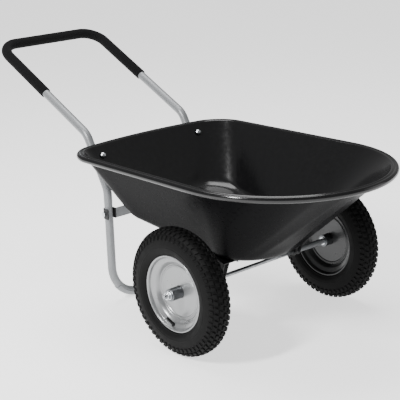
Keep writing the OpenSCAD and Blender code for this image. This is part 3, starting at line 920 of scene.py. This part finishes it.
def rim_profile(sizes):
    """(radius, outward) line of one pressed half: flat disc, swage, dish and rolled lip."""
    lip, half, sheet = sizes.rim / 2, sizes.rim_width / 2, sizes.sheet
    bore = sizes.hub / 2
    disc = 0.338 * sizes.rim
    flat = [(bore, sheet), (bore + 0.004, sheet), (disc - 0.006, sheet), (disc - 0.0035, sheet)]
    swage = [(disc - 0.0015, sheet + 0.0022), (disc + 0.0010, sheet + 0.0022),
             (disc + 0.0030, sheet + 0.0002), (disc + 0.0055, sheet + 0.0008)]
    dish = [(disc + 0.0090, half * 0.32), (disc + 0.0125, half * 0.47), (disc + 0.0150, half * 0.52),
            (lip - 0.0110, half * 0.64), (lip - 0.0085, half * 0.68)]
    rolled_lip = [(lip - 0.0068, half - 0.0035), (lip - 0.0050, half - 0.0008), (lip - 0.0030, half),
                  (lip - 0.0008, half - 0.0004), (lip, half - 0.0022)]
    back = [(lip - 0.0006, half - 0.0040), (lip - 0.0030, half - 0.0034),
            (lip - 0.0050, half - 0.0062), (lip - 0.0056, half * 0.62),
            (disc + 0.0225, half * 0.44), (disc + 0.0085, 0.0016), (disc, 0.0001), (bore, 0.0001)]
    return flat + swage + dish + rolled_lip + back


class CART_OT_rims(bpy.types.Operator):
    """Builds the two pressed halves of each rim"""

    bl_idname = "cart.rims"
    bl_label = "Rims"

    def execute(self, context):
        sizes = context.scene.cart_wheels
        # The inner halves' enamel is the same colour at 0.13 of its value: painted shade, not a different
        # coat.
        full, painted_shade_enamel = rim_enamel("rim_enamel", 1.0), rim_enamel("rim_enamel_painted_shade", 0.13)
        profile = softened(rim_profile(sizes), 2, 0.22)
        for side, sign in SIDES.items():
            centre = middle(f"{side}_tyre")
            for half, way, enamel in (("outer", sign, full), ("inner", -sign, painted_shade_enamel)):
                node, body = f"{side}_rim_{half}", f"{side}_wheel"
                verts, faces = revolved(profile, centre, way, 144)
                new_piece(f"{node}_pressing", verts, faces, enamel, body, [node], 50)
        return {"FINISHED"}


# ---- fittings that stay as the frame has them ----


def dress(node, material, edge=0.0):
    """Gives a frame node its finish, joins its split corners, and breaks its edges where asked."""
    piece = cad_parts[node]
    piece.data.materials.clear()
    piece.data.materials.append(material)
    weld = piece.modifiers.new("Weld", "WELD")
    weld.merge_threshold = 0.00001
    if edge:
        bevel = piece.modifiers.new("Broken edges", "BEVEL")
        bevel.width = edge
        bevel.segments = 2
        bevel.limit_method = "ANGLE"
        bevel.angle_limit = radians(40)
        bevel.harden_normals = True


class CART_OT_fittings(bpy.types.Operator):
    """Finishes the bolts, nuts, brackets, axle and hubs"""

    bl_idname = "cart.fittings"
    bl_label = "Fittings"

    def execute(self, context):
        zinc, nylon, black = zinc_plate(), moulded_nylon(), black_powder_coat()
        for node in ("joint_bolts", "joint_nuts", "rear_nuts", "bracket_nuts", "axle_nuts"):
            dress(node, zinc, 0.0004)
        for node in ("rear_bolts", "bracket_bolts", "axle_washers"):
            dress(node, zinc)
        paint = bpy.data.materials["silver_powder_coat"]
        dress("cross_brace", paint, 0.0006)
        dress("stand_shoes", paint)
        dress("axle_sleeves", paint)
        dress("axle_rod", drawn_steel())
        dress("leg_clamps", black, 0.0005)
        dress("axle_brackets", black, 0.0005)
        dress("rear_spacers", nylon)
        butyl, steel = butyl_rubber(), ground_steel()
        for side in SIDES:
            dress(f"{side}_hub", steel, 0.0008)
            dress(f"{side}_inner_tube", butyl)
            dress(f"{side}_bearings", steel)
            dress(f"{side}_valve_stem", butyl)
            dress(f"{side}_valve_cap", nylon, 0.0004)
        return {"FINISHED"}


# ---- studio ----


def soft_light(name, place, target, size, power):
    """A rectangular area light at a place, facing a target."""
    lamp = bpy.data.lights.new(name, "AREA")
    lamp.shape = "RECTANGLE"
    lamp.size, lamp.size_y = size
    lamp.energy = power
    light = bpy.data.objects.new(name, lamp)
    bpy.context.scene.collection.objects.link(light)
    light.location = place
    light.rotation_euler = (Vector(target) - Vector(place)).to_track_quat("-Z", "Y").to_euler()


class CART_OT_studio(bpy.types.Operator):
    """Builds the pale floor, the soft lights and the camera"""

    bl_idname = "cart.studio"
    bl_label = "Studio"

    def execute(self, context):
        sizes = context.scene.cart_studio
        reach = sizes.reach
        mesh = bpy.data.meshes.new("studio_floor")
        mesh.from_pydata([(-reach, -reach, 0), (reach, -reach, 0), (reach, reach, 0), (-reach, reach, 0)],
                         [], [(0, 1, 2, 3)])
        mesh.materials.append(studio_floor())
        floor = bpy.data.objects.new("studio_floor", mesh)
        context.scene.collection.objects.link(floor)

        surround = bpy.data.worlds.new("white_surround")
        surround.use_nodes = True
        surround.node_tree.nodes.clear()
        glow = add_node(surround.node_tree, "ShaderNodeBackground",
                        {"Color": (1, 1, 1, 1), "Strength": sizes.sky})
        add_node(surround.node_tree, "ShaderNodeOutputWorld", {"Surface": glow.outputs["Background"]})
        context.scene.world = surround

        aim = (0, 0, 0.35)
        soft_light("key_light", (-2.4, -0.2, 2.3), aim, (0.25, 0.8), sizes.key)
        soft_light("top_light", (0.3, 0.6, 3.4), aim, (2.6, 1.6), sizes.top)
        soft_light("fill_light", (2.8, -2.4, 1.4), aim, (1.6, 1.6), sizes.fill)

        lens = bpy.data.cameras.new("camera")
        lens.lens = sizes.lens
        lens.sensor_width = 36.0
        camera = bpy.data.objects.new("camera", lens)
        context.scene.collection.objects.link(camera)
        axle = middle("axle_rod")
        place = Vector((-2.1761, -2.2042 + axle.y, 1.2973))
        right = Vector((0.73956, -0.67225, -0.03363))
        up = Vector((0.21686, 0.19068, 0.95740))
        back = right.cross(up)
        turned = Matrix((right, up, back)).transposed().to_4x4()
        camera.matrix_world = Matrix.Translation(place) @ turned
        context.scene.camera = camera
        return {"FINISHED"}


class CART_PT_panel(bpy.types.Panel):
    """Lists the cart's pieces"""

    bl_idname = "CART_PT_panel"
    bl_label = "Garden cart"
    bl_space_type = "VIEW_3D"
    bl_region_type = "UI"
    bl_category = "Garden cart"

    def draw(self, context):
        for operator in PIECES:
            self.layout.operator(operator.bl_idname)


PIECES = (
    CART_OT_studio,
    CART_OT_tub,
    CART_OT_frame_tubes,
    CART_OT_grip,
    CART_OT_tyres,
    CART_OT_rims,
    CART_OT_fittings,
)
GROUPS = {
    "cart_tub": TubSettings,
    "cart_frame": FrameSettings,
    "cart_wheels": WheelSettings,
    "cart_studio": StudioSettings,
}


def register():
    for made in (*GROUPS.values(), *PIECES, CART_PT_panel):
        bpy.utils.register_class(made)
    for name, group in GROUPS.items():
        setattr(bpy.types.Scene, name, PointerProperty(type=group))


def unregister():
    for name in GROUPS:
        delattr(bpy.types.Scene, name)
    for made in reversed((*GROUPS.values(), *PIECES, CART_PT_panel)):
        bpy.utils.unregister_class(made)


def main():
    register()
    bpy.ops.cart.studio()
    bpy.ops.cart.tub()
    bpy.ops.cart.frame_tubes()
    bpy.ops.cart.grip()
    bpy.ops.cart.tyres()
    bpy.ops.cart.rims()
    bpy.ops.cart.fittings()


if __name__ == "__main__":
    main()
